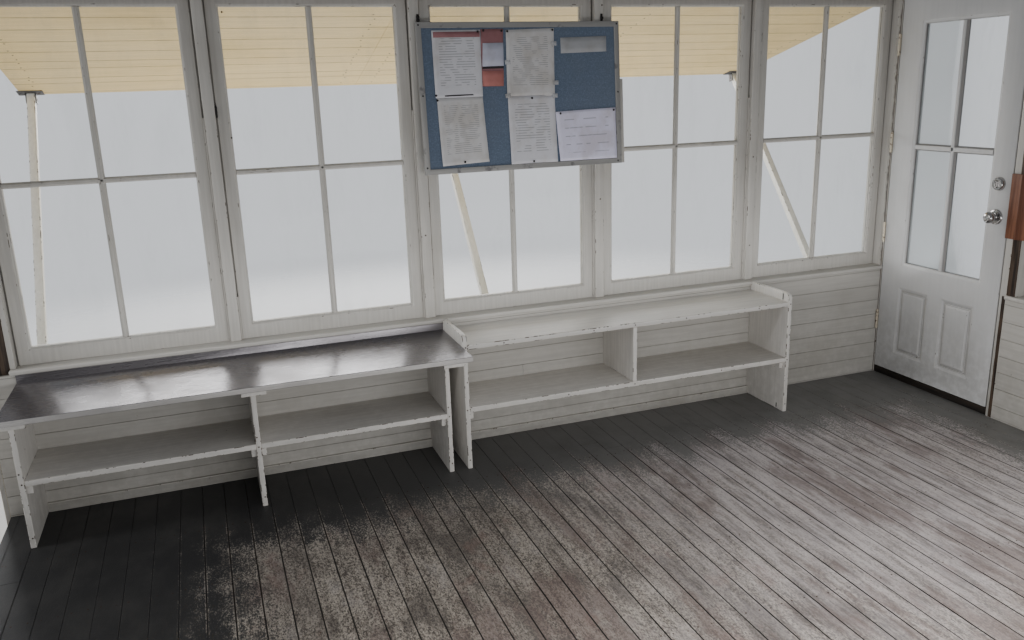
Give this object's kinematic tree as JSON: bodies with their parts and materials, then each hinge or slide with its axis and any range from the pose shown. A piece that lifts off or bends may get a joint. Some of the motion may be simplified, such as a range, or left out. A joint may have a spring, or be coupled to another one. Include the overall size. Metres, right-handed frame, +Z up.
{
  "type": "fire lookout cab corner section",
  "caption": "Corner of a fire lookout cab: glazed wall with raised storm shutters, half-glazed door, built-in counter and bench, notice board and boarded floor.",
  "frame": {"origin": "on the underside of the window wall's floor beam, below the middle window, in the plane of the sashes' room faces", "axes": "+X along the window wall towards the door wall, +Y out through the windows, +Z up"},
  "size_m": [4.511, 4.0749, 2.294],
  "materials": {
    "raw_timber": "rough sawn",
    "floor_boards": "weathered, dark paint worn through",
    "room_paint": "old off-white paint",
    "bench_paint": "chipped white paint",
    "door_paint": "white paint",
    "outer_paint": "weathered cream paint",
    "shutter_paint": "cream paint",
    "prop_paint": "white paint",
    "dark_timber": "bare, darkened",
    "block_wood": "stained, bare",
    "notice_frame": "dull",
    "notice_cloth": "woven blue-grey",
    "glass": "clear",
    "counter_steel": "brushed",
    "lock_steel": "satin",
    "hinge_brass": "tarnished",
    "iron": "galvanised, dull"
  },
  "bodies": {
    "cab": {"base_strips": "room_paint", "bench_divider": "bench_paint", "bench_ends": "bench_paint", "bench_shelf": "bench_paint", "bench_top": "bench_paint", "corner_boards": "outer_paint", "counter_caps": "bench_paint", "counter_panels": "bench_paint", "counter_shelves": "bench_paint", "counter_top": "counter_steel", "door_head": "room_paint", "door_jambs": "room_paint", "floor_deck": "floor_boards", "floor_joists": "raw_timber", "floor_rims": "raw_timber", "frieze_side": "room_paint", "frieze_window": "room_paint", "header_side": "raw_timber", "header_window": "raw_timber", "hinges_jamb": "hinge_brass", "knee_frame": "raw_timber", "latch_block": "block_wood", "mullions": "room_paint", "notice_frame": "notice_frame", "notice_panel": "notice_cloth", "notice_strip": "bench_paint", "prop_cleats": "outer_paint", "prop_plates": "iron", "shelf_cleats": "bench_paint", "shutter_battens": "shutter_paint", "shutter_left": "shutter_paint", "shutter_props": "prop_paint", "shutter_right": "shutter_paint", "shutter_straps": "iron", "siding": "outer_paint", "threshold": "dark_timber", "wainscot": "room_paint", "wall_posts": "dark_timber", "window_glass": "glass", "window_sashes": "room_paint", "window_sills": "room_paint"},
    "door": {"door_leaf": "door_paint", "door_glass": "glass", "door_lockset": "lock_steel", "hinges_leaf": "hinge_brass"}
  },
  "joints": [
    {"name": "door_hinge", "type": "hinge", "parent": "cab", "child": "door", "pos_m": [2.105, -0.0695, 1.176], "axis": [0, 0, -1], "range_deg": [0, 90]}
  ]
}
